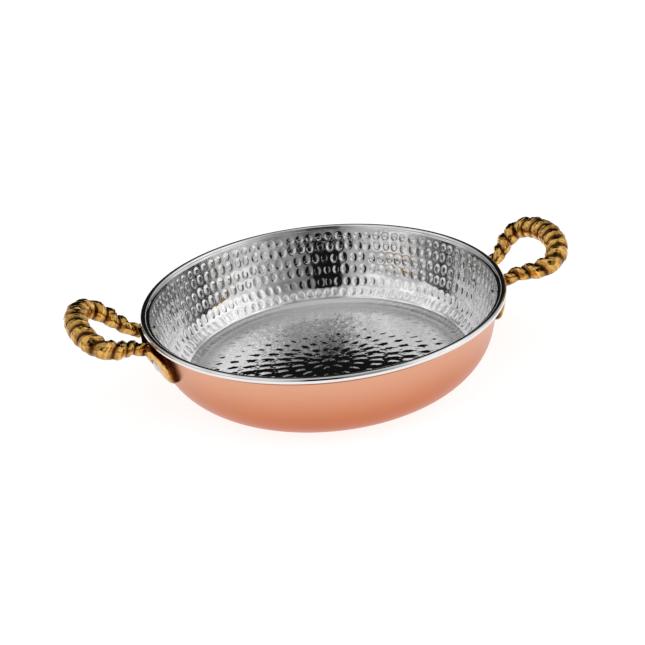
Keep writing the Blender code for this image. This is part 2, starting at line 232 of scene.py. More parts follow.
world = bpy.data.worlds.new("studio_room")
bpy.context.scene.world = world
world.use_nodes = True
room = world.node_tree
room.nodes.clear()
sight = add_node(room, 'ShaderNodeTexCoord').outputs["Generated"]
lift = sum_up(room, 'ARCSINE', add_node(room, 'ShaderNodeSeparateXYZ', (sight,)).outputs["Z"])
behind = add_node(room, 'ShaderNodeVectorMath', (sight, VIEW_BACK), operation='DOT_PRODUCT')
beside = add_node(room, 'ShaderNodeVectorMath', (sight, VIEW_RIGHT), operation='DOT_PRODUCT')
turn = sum_up(room, 'ARCTAN2', beside.outputs["Value"], behind.outputs["Value"])
light = ROOM_LIGHT
for *edges, card_light in STUDIO_CARDS.values():
    light = blend(room, card_mask(room, turn, lift, edges), light, card_light)
mottle = add_node(room, 'ShaderNodeTexNoise', (sight,))
mottle.inputs["Scale"].default_value = MOTTLE_SCALE
mottle_light = ease(room, mottle.outputs["Fac"], *MOTTLE_NOISE_RANGE, *MOTTLE_LIGHT_RANGE)
light = sum_up(room, 'MULTIPLY', light, mottle_light)
eye = add_node(room, 'ShaderNodeLightPath').outputs["Is Camera Ray"]
glow = add_node(room, 'ShaderNodeBackground')
room.links.new(blend(room, eye, light, BACKDROP_LIGHT), glow.inputs["Strength"])
room_out = add_node(room, 'ShaderNodeOutputWorld')
room.links.new(glow.outputs["Background"], room_out.inputs["Surface"])
bpy.context.scene.view_settings.view_transform = 'Standard'
print("the room has", len(STUDIO_CARDS), "cards")

# %% [markdown]
# ## Metal finishes
# All five metals are the same shader, a Principled BSDF with Metallic at 1, so what tells them
# apart is colour, gloss and grain. No real metal is even: the gloss drifts where it was wiped and
# the polish leaves a grain. That drift is one node group, built once and placed in each metal with
# its own values.

# %% Node group for drift and grain
DRIFT_DETAIL = 4
GRAIN_DETAIL = 1
NOISE_MIDDLE = 0.5


def make_grain_group():
    """Colour, roughness and height of a worked metal, all drifting with noise on Object coordinates."""
    group = bpy.data.node_groups.new("worked_metal_grain", 'ShaderNodeTree')
    socket = group.interface.new_socket
    socket("Color", in_out='INPUT', socket_type='NodeSocketColor')
    for name in ("Color Drift", "Roughness", "Roughness Drift", "Drift Scale", "Grain Scale"):
        socket(name, in_out='INPUT', socket_type='NodeSocketFloat')
    socket("Color", in_out='OUTPUT', socket_type='NodeSocketColor')
    socket("Roughness", in_out='OUTPUT', socket_type='NodeSocketFloat')
    socket("Height", in_out='OUTPUT', socket_type='NodeSocketFloat')
    given = group.nodes.new('NodeGroupInput').outputs
    place = add_node(group, 'ShaderNodeTexCoord').outputs["Object"]
    drift = add_node(group, 'ShaderNodeTexNoise')
    drift.inputs["Detail"].default_value = DRIFT_DETAIL
    grain = add_node(group, 'ShaderNodeTexNoise')
    grain.inputs["Detail"].default_value = GRAIN_DETAIL
    for node, scale in ((drift, "Drift Scale"), (grain, "Grain Scale")):
        group.links.new(place, node.inputs["Vector"])
        group.links.new(given[scale], node.inputs["Scale"])
    swing = sum_up(group, 'SUBTRACT', drift.outputs["Fac"], NOISE_MIDDLE)
    tone = sum_up(group, 'MULTIPLY_ADD', swing, given["Color Drift"], 1.0)
    colour = add_node(group, 'ShaderNodeVectorMath', (given["Color"],), operation='SCALE')
    group.links.new(tone, colour.inputs["Scale"])
    gloss = sum_up(group, 'MULTIPLY_ADD', swing, given["Roughness Drift"], given["Roughness"])
    out = group.nodes.new('NodeGroupOutput')
    group.links.new(colour.outputs["Vector"], out.inputs["Color"])
    group.links.new(gloss, out.inputs["Roughness"])
    group.links.new(grain.outputs["Fac"], out.inputs["Height"])
    return group


grain_group = make_grain_group()
print(grain_group.name, "has", len(grain_group.nodes), "nodes")


def make_metal(name, colour, look, grain_height):
    """A metal with the shared grain, and a Bump node that turns its height into a normal.

    The look is (colour drift, roughness, roughness drift, drift scale, grain scale).
    """
    metal = bpy.data.materials.new(name)
    metal.use_nodes = True
    tree = metal.node_tree
    shader = tree.nodes["Principled BSDF"]
    shader.inputs["Metallic"].default_value = 1.0
    grain = tree.nodes.new('ShaderNodeGroup')
    grain.node_tree = grain_group
    for socket, value in zip(grain.inputs, ((*colour, 1), *look)):
        socket.default_value = value
    bump = tree.nodes.new('ShaderNodeBump')
    bump.inputs["Strength"].default_value = 1.0
    bump.inputs["Distance"].default_value = grain_height
    tree.links.new(grain.outputs["Height"], bump.inputs["Height"])
    tree.links.new(grain.outputs["Color"], shader.inputs["Base Color"])
    tree.links.new(grain.outputs["Roughness"], shader.inputs["Roughness"])
    tree.links.new(bump.outputs["Normal"], shader.inputs["Normal"])
    print(name, "has a mean roughness of", look[1])
    return metal


# %% Five metals
COPPER = (0.695, 0.270, 0.139)
BRIGHT = (0.80, 0.80, 0.80)
BRASS = (0.77, 0.44, 0.115)
STEEL = (0.62, 0.61, 0.60)

copper_metal = make_metal("satin_copper", COPPER, (0.12, 0.34, 0.12, 40, 2600), 0.002 * MM)
lining_metal = make_metal("bright_sheet", BRIGHT, (0.10, 0.05, 0.04, 45, 900), 0.006 * MM)
floor_metal = make_metal("scoured_bright_sheet", BRIGHT, (0.10, 0.05, 0.04, 45, 700), 0.012 * MM)
brass_metal = make_metal("cast_brass", BRASS, (1.30, 0.11, 0.10, 420, 900), 0.060 * MM)
rivet_metal = make_metal("steel_rivet", STEEL, (0.12, 0.24, 0.10, 150, 1500), 0.010 * MM)

# %% [markdown]
# The copper's colour changes with its height. Painted shade darkens it towards the base, and a
# painted reflection makes it paler and whiter under the rim. A thin dark line of painted shade lies
# right under the rim bead.

# %% Copper with painted shade at the base and a painted reflection under the rim
# Tints for the painted shade at the base and the painted reflection at the top
COPPER_BASE_SHADE_TINT = (0.78, 0.61, 0.48)
COPPER_RIM_SHEEN_TINT = (1.05, 1.38, 1.75)
LOW_HEIGHT = 6 * MM
HIGH_HEIGHT = 42 * MM
# A thin line of painted shade on the copper right under the rim bead
RIM_SHADE_TINT = (0.42, 0.34, 0.32)
RIM_SHADE_FOOT = 38.9 * MM
RIM_SHADE_HEAD = 39.5 * MM


def tint_by_height(metal, low_tint, high_tint, low_height, high_height):
    """Multiply a metal's colour by a tint that changes with height above the table."""
    tree = metal.node_tree
    colour_in = tree.nodes["Principled BSDF"].inputs["Base Color"]
    plain = colour_in.links[0].from_socket
    place = add_node(tree, 'ShaderNodeTexCoord').outputs["Object"]
    height = add_node(tree, 'ShaderNodeSeparateXYZ', (place,)).outputs["Z"]
    share = ease(tree, height, low_height, high_height)
    tint = blend(tree, share, (*low_tint, 1), (*high_tint, 1), 'RGBA')
    tinted = add_node(tree, 'ShaderNodeVectorMath', (plain, tint), operation='MULTIPLY')
    tree.links.new(tinted.outputs["Vector"], colour_in)
    print(metal.name, "changes colour from", low_height / MM, "to", high_height / MM, "mm up")


# Painted shade towards the base and a painted reflection towards the rim, by height
tint_by_height(copper_metal, COPPER_BASE_SHADE_TINT, COPPER_RIM_SHEEN_TINT, LOW_HEIGHT, HIGH_HEIGHT)
# Painted shade in a thin line right under the rim bead
tint_by_height(copper_metal, (1, 1, 1), RIM_SHADE_TINT, RIM_SHADE_FOOT, RIM_SHADE_HEAD)

# %% [markdown]
# ## The section of the pan
# A spun pan has the same section all the way round, so one line describes it: flat base, a tight
# foot, a wide corner, a leaning wall and a flare that ends in the rolled rim. The same two
# functions give each face of each sheet, because a face is the inner line moved out by some
# thickness.

# %% Section of the pan
def toward_pan(lean):
    """Unit vector from a bead or flare centre to its face, in (radius, height)."""
    return Vector((-math.cos(lean), math.sin(lean)))


def ray(turn):
    """Unit vector at an angle above the outward direction, in (radius, height)."""
    return Vector((math.cos(turn), math.sin(turn)))


FLARE_CENTRE = BEAD_CENTRE - toward_pan(FLARE_LEAN) * (FLARE_RADIUS - BEAD_RADIUS)
FOOT_TO_CORNER = Vector((-math.sin(FOOT_SLOPE), math.cos(FOOT_SLOPE))) * (CORNER_RADIUS - FOOT_RADIUS)
INNER_CORNER = CORNER_RADIUS - STACK
WALL_TOP = FLARE_CENTRE + toward_pan(WALL_LEAN) * FLARE_RADIUS
CORNER_HEIGHT = FOOT_RADIUS + FOOT_TO_CORNER.y
WALL_FOOT_HEIGHT = CORNER_HEIGHT - INNER_CORNER * math.sin(WALL_LEAN)
WALL_FOOT_RADIUS = WALL_TOP.x - (WALL_TOP.y - WALL_FOOT_HEIGHT) * math.tan(WALL_LEAN)
CORNER_CENTRE = Vector((WALL_FOOT_RADIUS - INNER_CORNER * math.cos(WALL_LEAN), CORNER_HEIGHT))
FOOT_CENTRE = CORNER_CENTRE - FOOT_TO_CORNER
CORNER_START = FOOT_SLOPE - math.pi / 2
CREASE_TURN = CORNER_START * (1 - CREASE_TURN_SHARE) - WALL_LEAN * CREASE_TURN_SHARE


def steps_between(first, last, count):
    """Evenly spaced values from first to last, both included."""
    return [first + (last - first) * i / count for i in range(count + 1)]


def foot_face(offset, steps):
    """The tight foot and the start of the corner up to the crease, outside the flat floor."""
    radius = FOOT_RADIUS - STACK + offset
    path = [FOOT_CENTRE + ray(turn) * radius
            for turn in steps_between(-math.pi / 2, CORNER_START, steps)]
    radius = CORNER_RADIUS - STACK + offset
    return path + [CORNER_CENTRE + ray(turn) * radius
                   for turn in steps_between(CORNER_START, CREASE_TURN, steps)[1:]]


def wall_face(offset, steps, flare_end=FLARE_LEAN):
    """The wall from the crease to the flare's top, in steps of the corner, the wall and the flare."""
    corner_steps, wall_steps, flare_steps = steps
    radius = CORNER_RADIUS - STACK + offset
    path = [CORNER_CENTRE + ray(turn) * radius
            for turn in steps_between(CREASE_TURN, -WALL_LEAN, corner_steps)]
    top = FLARE_CENTRE + toward_pan(WALL_LEAN) * (FLARE_RADIUS - offset)
    path += [path[-1].lerp(top, share) for share in steps_between(0, 1, wall_steps)[1:]]
    return path + [FLARE_CENTRE + toward_pan(lean) * (FLARE_RADIUS - offset)
                   for lean in steps_between(WALL_LEAN, flare_end, flare_steps)[1:]]


def bead_arc(radius, first, last, steps):
    """Arc about the bead's centre, from the pan's side over the top and round to the outside."""
    return [BEAD_CENTRE + toward_pan(lean) * radius for lean in steps_between(first, last, steps)]


# The bead stands on a narrow flat ledge at the top of the bright wall
LEDGE_DROP = 0.50 * MM
LEDGE_LEAN = -math.asin(LEDGE_DROP / BEAD_RADIUS)
LEDGE_END = BEAD_CENTRE + toward_pan(LEDGE_LEAN) * BEAD_RADIUS

print("crease at radius", round((CORNER_CENTRE + ray(CREASE_TURN) * INNER_CORNER).x / MM, 1), "mm")

# %% [markdown]
# ## Turning a section into a sheet
# By hand, a turned piece starts as one vertex. It is extruded from point to point until the
# section is drawn, and then spun once round the axis. That keeps every ring of the pan at an exact
# size, which a scaled cylinder would not. The seam and the pole are merged after the spin, and the
# normals are made to face outwards.

# %% Helpers for turned pieces
EDGE_ANGLE = math.radians(40)


def draw_section(name, points):
    """An object whose edges follow the (radius, height) points, drawn by extruding one vertex."""
    deselect_all()
    bpy.ops.mesh.primitive_circle_add(vertices=3, radius=MM, location=(points[0].x, 0, points[0].y))
    obj = bpy.context.object
    obj.name = obj.data.name = name
    bpy.ops.object.transform_apply(location=True, rotation=False, scale=False)
    bpy.ops.object.mode_set(mode='EDIT')
    bpy.ops.mesh.select_mode(type='VERT')
    bpy.ops.mesh.select_all(action='SELECT')
    bpy.ops.mesh.merge(type='CENTER')
    for before, after in zip(points, points[1:]):
        step = (after.x - before.x, 0, after.y - before.y)
        bpy.ops.mesh.extrude_region_move(TRANSFORM_OT_translate={"value": step})
    return obj


def face_outwards(obj):
    """Turn all faces of a closed mesh in edit mode outwards, which a volume above zero confirms."""
    bpy.ops.mesh.select_all(action='SELECT')
    bpy.ops.mesh.normals_make_consistent(inside=False)
    if bmesh.from_edit_mesh(obj.data).calc_volume(signed=True) < 0:
        bpy.ops.mesh.flip_normals()


def spin_section(name, points, steps):
    """The section turned once round Z into a closed sheet."""
    obj = draw_section(name, points)
    bpy.ops.mesh.select_all(action='SELECT')
    bpy.ops.mesh.spin(steps=steps, angle=math.tau, center=(0, 0, 0), axis=(0, 0, 1))
    bpy.ops.mesh.select_all(action='SELECT')
    bpy.ops.mesh.remove_doubles(threshold=MERGE_DISTANCE)
    face_outwards(obj)
    bpy.ops.object.mode_set(mode='OBJECT')
    bpy.ops.object.shade_smooth_by_angle(angle=EDGE_ANGLE)
    return obj


def finish_piece(obj, metal, slot, *nodes):
    """Give a piece its metal and its place in the frame, and say how large it is. The slot is not used.
    """
    obj.data.materials.clear()
    obj.data.materials.append(metal)
    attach(obj, "root")
    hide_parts(*nodes)
    obj.data.calc_loop_triangles()
    print(obj.name, "has", len(obj.data.loop_triangles), "triangles")


# %% [markdown]
# ## Copper body
# The outside is a plain spun sheet with a satin face. Its outline runs up the outside, round the
# small lip that the lining is rolled over, and back down the inside, so the sheet has its real
# thickness and is closed.

# %% Copper body
BODY_TURNS = 240
OUTSIDE_FOOT_STEPS = 10
OUTSIDE_WALL_STEPS = (16, 4, 6)
INSIDE_FOOT_STEPS = 6
INSIDE_WALL_STEPS = (10, 3, 5)
LIP_STEPS = 14
reach = FLARE_RADIUS - BEAD_RADIUS
outer_flare = FLARE_RADIUS - STACK
lip_cut = math.acos((reach**2 + outer_flare**2 - LIP_RADIUS**2) / (2 * reach * outer_flare))
outside = [Vector((0, 0))] + foot_face(STACK, OUTSIDE_FOOT_STEPS)
outside += wall_face(STACK, OUTSIDE_WALL_STEPS, FLARE_LEAN - lip_cut)[1:]
meeting = outside[-1] - BEAD_CENTRE
lip_end = math.atan2(meeting.y, -meeting.x) % math.tau
lip = bead_arc(LIP_RADIUS, lip_end, FLARE_LEAN, LIP_STEPS)
inside = [Vector((0, COPPER_THICKNESS))] + foot_face(LINING_GAP, INSIDE_FOOT_STEPS)
inside += wall_face(LINING_GAP, INSIDE_WALL_STEPS)[1:]
copper_body = spin_section("spun_copper_body", outside + lip[1:-1] + inside[::-1], BODY_TURNS)
finish_piece(copper_body, copper_metal, "copper", "copper_body")

# %% [markdown]
# ## Hammer marks
# The bright sheet was struck from behind, so each blow stands up inside the pan as a low round
# boss: its right flank mirrors what is on the right, its left flank what is on the left. On the
# wall the bosses stand in rows, each an oval with smooth metal between. On the floor they lie in
# rings round the centre, longer and closer. A boss of the wall is nearly flat on top and steep at
# its edge, which is what draws a thin dark or bright outline round each one. Those of the floor are
# rounder, and a fine ripple breaks up what they mirror. A mesh fine enough to hold them is raised by
# their height, with a little spread in place, size and height from a fixed seed, because no two
# blows fall alike.

# %% Functions for rows of bosses
DOME_SHARE = 0.25
PLACE_SPREAD = 0.05
ROW_SPREAD = 0.06
SIZE_SPREAD = 0.05
HEIGHT_SPREAD = 0.16
CREASE_DEPTH = 0.25 * MM
CREASE_HALF_WIDTH = 0.9 * MM


def boss(reach, top_share):
    """Height share of a boss from 1 at its middle to 0 at its edge, with a flat top."""
    edge = np.clip((1 - reach) / (1 - top_share), 0, 1)
    flank = edge * edge * (3 - 2 * edge)
    return flank * (1 - DOME_SHARE * reach**2)


def boss_rows(along, around, rows, top_share, rng):
    """Height of the hammered bosses at points given as a place across the rows and an angle.

    A row is (place, radius there, count, half length across the rows, half width, height).
    """
    lift = np.zeros_like(along)
    for place, radius, count, half_length, half_width, height in rows:
        phase = rng.uniform(0, math.tau)
        turn = (around - phase) / math.tau * count
        index = np.floor(turn).astype(int) % count
        shift_around = rng.normal(0, PLACE_SPREAD, count)
        shift_along = rng.normal(0, ROW_SPREAD, count) * half_length
        size = 1 + rng.normal(0, SIZE_SPREAD, count)
        own_height = height * (1 + rng.normal(0, HEIGHT_SPREAD, count))
        from_middle = turn - np.floor(turn) - 0.5
        across = (from_middle - shift_around[index]) * math.tau * radius / count
        down = along - place - shift_along[index]
        reach = np.hypot(across / half_width / size[index], down / half_length / size[index])
        lift = np.maximum(lift, own_height[index] * boss(reach, top_share))
    return lift


def ripple(co, size, height):
    """Fine random unevenness of a worked sheet at each point, of about one size."""
    return np.array([noise.noise(Vector(point) / size) for point in co]) * height


def crease(distance):
    """Depth of the fine groove where wall and floor meet, at a distance from it."""
    return CREASE_DEPTH * np.clip(1 - distance / CREASE_HALF_WIDTH, 0, 1)


def inward(line):
    """Unit vectors from a line of (radius, height) points to the inside of the pan."""
    slope = np.gradient(line, axis=0)
    slope /= np.linalg.norm(slope, axis=1)[:, None]
    return np.stack([-slope[:, 1], slope[:, 0]], 1)


# %% [markdown]
# ## Hammered wall
# The wall is spun like the body, but with a step every half millimetre, so that each boss is some
# nine cells wide. Its back is hidden by the copper and stays coarse. After the spin each point of
# the front face is moved straight out of the sheet by the height of the boss it lies in. The same
# blows have stretched the middle of the wall, so it swells a little towards the inside.

# %% Hammered wall
WALL_TURNS = 1080
WALL_SEED = 7
MARKS_PER_ROW = 100
MARK_HALF_WIDTH = 2.35 * MM
MARK_HEIGHT = 0.26 * MM
MARK_TOP_SHARE = 0.52
WALL_RIPPLE = (1.6 * MM, 0.014 * MM)
WALL_SWELL = 0.8 * MM
SWELL_PLACE = 18.5 * MM
SWELL_HALF_WIDTH = 14.0 * MM
FRONT_STEPS = (35, 26, 1)
UPHILL_STEPS = 8
LEDGE_STEPS = 4
BACK_STEPS = (6, 2, 3)
# Rows from the crease up: place along the wall and half length of the marks
WALL_ROWS = (
    (4.2 * MM, 2.7 * MM), (10.6 * MM, 2.95 * MM), (18.4 * MM, 3.2 * MM),
    (25.4 * MM, 3.2 * MM), (32.7 * MM, 3.4 * MM), (38.7 * MM, 2.4 * MM),
)


def lining_front():
    """The wall's bright face: straight on up past the flare, then a flat ledge out to the bead."""
    path = wall_face(0, FRONT_STEPS)[:-1]
    uphill = Vector((math.sin(WALL_LEAN), math.cos(WALL_LEAN)))
    rise = (BEAD_CENTRE.y - LEDGE_DROP - path[-1].y) / uphill.y
    path += [path[-1] + uphill * rise * share for share in steps_between(0, 1, UPHILL_STEPS)[1:]]
    return path + [path[-1].lerp(LEDGE_END, share) for share in steps_between(0, 1, LEDGE_STEPS)[1:]]


front = lining_front()
back = wall_face(LINING_THICKNESS, BACK_STEPS)
hammered_wall = spin_section("hammered_wall", front + back[::-1] + front[:1], WALL_TURNS)


def search_tree(points):
    """A tree that finds the nearest of some points."""
    tree = kdtree.KDTree(len(points))
    for i, point in enumerate(points):
        tree.insert(point, i)
    tree.balance()
    return tree


def place_on_line(points, line):
    """Nearest point of a line for each (radius, height), as its index and its distance."""
    tree = search_tree([(point.x, point.y, 0) for point in line])
    cells = np.round(points / MERGE_DISTANCE).astype(int)
    keys, inverse = np.unique(cells, axis=0, return_inverse=True)
    found = [tree.find((x * MERGE_DISTANCE, y * MERGE_DISTANCE, 0)) for x, y in keys]
    index = np.array([f[1] for f in found])[inverse.ravel()]
    distance = np.array([f[2] for f in found])[inverse.ravel()]
    return index, distance


def run_lengths(line):
    """Length of a line from its start to each of its points."""
    return np.concatenate([[0], np.cumsum(np.hypot(*np.diff(line, axis=0).T))])


def read_points(obj):
    """The mesh's points as an array."""
    co = np.zeros(len(obj.data.vertices) * 3)
    obj.data.vertices.foreach_get("co", co)
    return co.reshape(-1, 3)


def write_points(obj, co):
    """Put an array back as the mesh's points."""
    obj.data.vertices.foreach_set("co", co.astype(np.float32).ravel())
    obj.data.update()


co = read_points(hammered_wall)
radius = np.hypot(co[:, 0], co[:, 1])
around = np.arctan2(co[:, 1], co[:, 0])
index, distance = place_on_line(np.stack([radius, co[:, 2]], 1), front)
line = np.array([[p.x, p.y] for p in front])
runs = run_lengths(line)
rows = []
for place, half_length in WALL_ROWS:
    row_radius = float(np.interp(place, runs, line[:, 0]))
    rows.append((place, row_radius, MARKS_PER_ROW, half_length, MARK_HALF_WIDTH, MARK_HEIGHT))
lift = boss_rows(runs[index], around, rows, MARK_TOP_SHARE, np.random.default_rng(WALL_SEED))
from_swell = np.clip((runs[index] - SWELL_PLACE) / SWELL_HALF_WIDTH, -1, 1)
lift += WALL_SWELL * (1 + np.cos(math.pi * from_swell)) / 2 + ripple(co, *WALL_RIPPLE)
lift[index == len(front) - 1] = 0
lift = np.where(index == 0, 0, lift) - crease(runs[index])
lift[distance > 2 * MERGE_DISTANCE] = 0
ways = inward(line)
co[:, 0] += np.cos(around) * ways[index, 0] * lift
co[:, 1] += np.sin(around) * ways[index, 0] * lift
co[:, 2] += ways[index, 1] * lift
write_points(hammered_wall, co)
finish_piece(hammered_wall, lining_metal, "bright_lining", "bright_lining")
print("highest point of the swell and its bosses", round(lift.max() / MM, 2), "mm")

# %% [markdown]
# ## Rolled rim
# The bright sheet is turned out over the copper's lip as a round bead. It is its own short section:
# from the ledge over the top, round to the outside, tucked under, and back along the inside of the
# sheet. The flat ledge mirrors the dark card behind, which draws a thin black line inside the bead.

# %% Rolled rim
RIM_TURNS = 540
OVER_STEPS = 44
UNDER_STEPS = 20
tuck_reach = (COPPER_THICKNESS - LIP_RADIUS + FIT_GAP) / (LIP_RADIUS + FIT_GAP)
tuck = math.pi + FLARE_LEAN + math.acos(tuck_reach)
over = bead_arc(BEAD_RADIUS, LEDGE_LEAN, tuck, OVER_STEPS)
under = bead_arc(LIP_RADIUS + FIT_GAP, tuck, FLARE_LEAN, UNDER_STEPS)
rolled_rim = spin_section("rolled_rim", over + under + over[:1], RIM_TURNS)
finish_piece(rolled_rim, lining_metal, "bright_lining", "bright_lining")

# %% [markdown]
# ## Hammered floor
# A spun disc would crowd its points at the centre. A fan of six triangles, subdivided, gives even
# cells instead, and its hexagonal rings are then eased into circles. The rim of the disc climbs the
# foot up to the crease. The hidden underside is a few rings extruded back from the edge.

# %% Hammered floor
FLOOR_CUTS = (9, 14)
FLOOR_SEED = 3
FLOOR_MARK_HEIGHT = 0.22 * MM
FLOOR_TOP_SHARE = 0.10
FLOOR_RIPPLE = (1.4 * MM, 0.052 * MM)
RING_RIPPLE = (2.0 * MM, 0.075 * MM)
RING_START = 60 * MM
RING_FULL = 72 * MM
CENTRE_MARK_RADIUS = 4.0 * MM
CLIMB_STEPS = 40
# Rings from the centre out: radius, count of marks, half length along the radius and half width,
# with the lengths in millimetres
FLOOR_RINGS = (
    (8.5, 9, 4.2, 2.6), (17.7, 19, 4.4, 2.6), (27.0, 28, 4.5, 2.8), (36.0, 35, 4.5, 2.9),
    (45.4, 41, 4.5, 3.1), (55.0, 48, 4.5, 3.2), (64.0, 54, 4.4, 3.3),
)


def ease_hexagon_to_disc(flat, size):
    """Turn hexagonal rings of points into round ones, ring by ring."""
    sixth = math.pi / 3
    turn = np.arctan2(flat[:, 1], flat[:, 0]) % math.tau
    sector = np.floor(turn / sixth + 1e-6)
    low, high = sector * sixth, (sector + 1) * sixth
    a = (flat[:, 0] * np.sin(high) - flat[:, 1] * np.cos(high)) / math.sin(sixth)
    b = (flat[:, 1] * np.cos(low) - flat[:, 0] * np.sin(low)) / math.sin(sixth)
    ring = a + b
    share = np.divide(b, ring, out=np.zeros_like(b), where=ring > 1e-9)
    return ring * size, (sector + share) * sixth


floor_edge = CORNER_CENTRE + ray(CREASE_TURN) * INNER_CORNER
deselect_all()
bpy.ops.mesh.primitive_circle_add(vertices=6, radius=1.0, fill_type='TRIFAN',
                                  rotation=(0, 0, -math.pi / 2))
hammered_floor = bpy.context.object
hammered_floor.name = hammered_floor.data.name = "hammered_floor"
bpy.ops.object.transform_apply(location=False, rotation=True, scale=False)
bpy.ops.object.mode_set(mode='EDIT')
for cuts in FLOOR_CUTS:
    bpy.ops.mesh.select_all(action='SELECT')
    bpy.ops.mesh.subdivide(number_cuts=cuts)
bpy.ops.object.mode_set(mode='OBJECT')
co = read_points(hammered_floor)
radius, around = ease_hexagon_to_disc(co[:, :2], floor_edge.x)
climb = np.array([[0, STACK]] + [[p.x, p.y] for p in foot_face(0, CLIMB_STEPS)])
rings = [(r * MM, r * MM, n, half_length * MM, half_width * MM, FLOOR_MARK_HEIGHT)
         for r, n, half_length, half_width in FLOOR_RINGS]
lift = boss_rows(radius, around, rings, FLOOR_TOP_SHARE, np.random.default_rng(FLOOR_SEED))
lift = np.maximum(lift, FLOOR_MARK_HEIGHT * (1 - (radius / CENTRE_MARK_RADIUS)**2))
flat_co = np.stack([radius * np.cos(around), radius * np.sin(around), 0 * radius], 1)
in_ring = np.clip((radius - RING_START) / (RING_FULL - RING_START), 0, 1)
lift += ripple(flat_co, *FLOOR_RIPPLE) + ripple(flat_co, *RING_RIPPLE) * in_ring
from_edge = floor_edge.x - radius
lift = np.where(from_edge < MERGE_DISTANCE, 0, lift) - crease(from_edge)
ways = inward(climb)
radius_now = radius + lift * np.interp(radius, climb[:, 0], ways[:, 0])
co[:, 0] = radius_now * np.cos(around)
co[:, 1] = radius_now * np.sin(around)
co[:, 2] = np.interp(radius, climb[:, 0], climb[:, 1])
co[:, 2] += lift * np.interp(radius, climb[:, 0], ways[:, 1])
write_points(hammered_floor, co)
print("floor mesh has", len(co), "points, highest boss", round(lift.max() / MM, 2), "mm")

# %% [markdown]
# The scouring pad turns in the corner, so the outer ring of the floor is duller than the middle.

# %% Duller outer ring
RING_DULLNESS = 0.24
floor_tree = floor_metal.node_tree
gloss_in = floor_tree.nodes["Principled BSDF"].inputs["Roughness"]
even_gloss = gloss_in.links[0].from_socket
place = add_node(floor_tree, 'ShaderNodeTexCoord').outputs["Object"]
flat_place = add_node(floor_tree, 'ShaderNodeVectorMath', (place, (1, 1, 0)), operation='MULTIPLY')
reach = add_node(floor_tree, 'ShaderNodeVectorMath', (flat_place.outputs["Vector"],),
                 operation='LENGTH')
duller = ease(floor_tree, reach.outputs["Value"], RING_START, RING_FULL, 0.0, RING_DULLNESS)
floor_tree.links.new(sum_up(floor_tree, 'ADD', even_gloss, duller), gloss_in)
print("the floor gets duller from", round(RING_START / MM), "to", round(RING_FULL / MM), "mm out")

# %% [markdown]
# The underside starts from the open edge of the disc, which is extruded back under it in rings.

# %% Underside of the floor sheet
UNDERSIDE_STEPS = 3
bpy.ops.object.mode_set(mode='EDIT')
bpy.ops.mesh.select_mode(type='EDGE')
bpy.ops.mesh.select_all(action='DESELECT')
bpy.ops.mesh.select_non_manifold()
here = floor_edge - Vector(ways[-1]) * CREASE_DEPTH
for there in foot_face(LINING_THICKNESS, UNDERSIDE_STEPS)[::-1]:
    bpy.ops.mesh.extrude_region_move(TRANSFORM_OT_translate={"value": (0, 0, there.y - here.y)})
    growth = there.x / here.x
    bpy.ops.transform.resize(value=(growth, growth, 1), center_override=(0, 0, there.y))
    here = there
bpy.ops.mesh.edge_face_add()
face_outwards(hammered_floor)
bpy.ops.object.mode_set(mode='OBJECT')
bpy.ops.object.shade_smooth_by_angle(angle=EDGE_ANGLE)
finish_piece(hammered_floor, floor_metal, "bright_lining", "bright_lining")

# %% [markdown]
# ## Rivets
# A rivet is a turned piece too: a shank, a domed head outside and a low flat head inside the pan.
# One is spun at the origin and four copies are set in the wall, each with its own mesh.

# %% One rivet
RIVET_SPACING = 37.0 * MM
RIVET_DROP = 12.5 * MM
SHANK_RADIUS = 2.0 * MM
OUTER_HEAD = (3.5 * MM, 1.8 * MM)
INNER_HEAD = (4.2 * MM, 0.9 * MM)
RIVET_SEAT_THICKNESS = 3.5 * MM
HEAD_ROUNDNESS = 2.6
HEAD_STEPS = 12
RIVET_TURNS = 48
RIVET_LINE_STEPS = (8, 4, 4)
RIVET_HEIGHT = BEAD_CENTRE.y - RIVET_DROP
rivet_line = np.array([[p.y, p.x] for p in wall_face(STACK, RIVET_LINE_STEPS)])
RIVET_WALL_RADIUS = float(np.interp(RIVET_HEIGHT, *rivet_line.T))
RIVET_ANGLE = RIVET_SPACING / 2 / RIVET_WALL_RADIUS


def head_section(head, seat, side):
    """Half section of a head from its rim to its crown."""
    radius, height = head
    power = 2 / HEAD_ROUNDNESS
    turns = [math.pi / 2 * share for share in steps_between(0, 1, HEAD_STEPS)]
    return [Vector((radius * math.cos(t)**power, seat + side * height * math.sin(t)**power))
            for t in turns]


outer_seat = FIT_GAP + RIVET_SEAT_THICKNESS + FIT_GAP
inner_seat = -STACK - FIT_GAP
shank = [Vector((SHANK_RADIUS, inner_seat)), Vector((SHANK_RADIUS, outer_seat))]
inner_head = head_section(INNER_HEAD, inner_seat, -1)[::-1]
outer_head = head_section(OUTER_HEAD, outer_seat, 1)
rivet_pattern = spin_section("rivet_pattern", inner_head + shank + outer_head, RIVET_TURNS)
print("a rivet sits", round(RIVET_WALL_RADIUS / MM, 1), "mm from the pan's axis")


def rivet_frame(around):
    """Placement of a rivet: local +Z points out of the wall, from the copper's outer face."""
    seat = Matrix.Translation((RIVET_WALL_RADIUS, 0, RIVET_HEIGHT))
    return Matrix.Rotation(around, 4, 'Z') @ seat @ Matrix.Rotation(math.pi / 2 + WALL_LEAN, 4, 'Y')


# %% Four rivets in place
RIVETS = {
    "right_handle_front_rivet": -RIVET_ANGLE,
    "right_handle_back_rivet": RIVET_ANGLE,
    "left_handle_front_rivet": math.pi + RIVET_ANGLE,
    "left_handle_back_rivet": math.pi - RIVET_ANGLE,
}


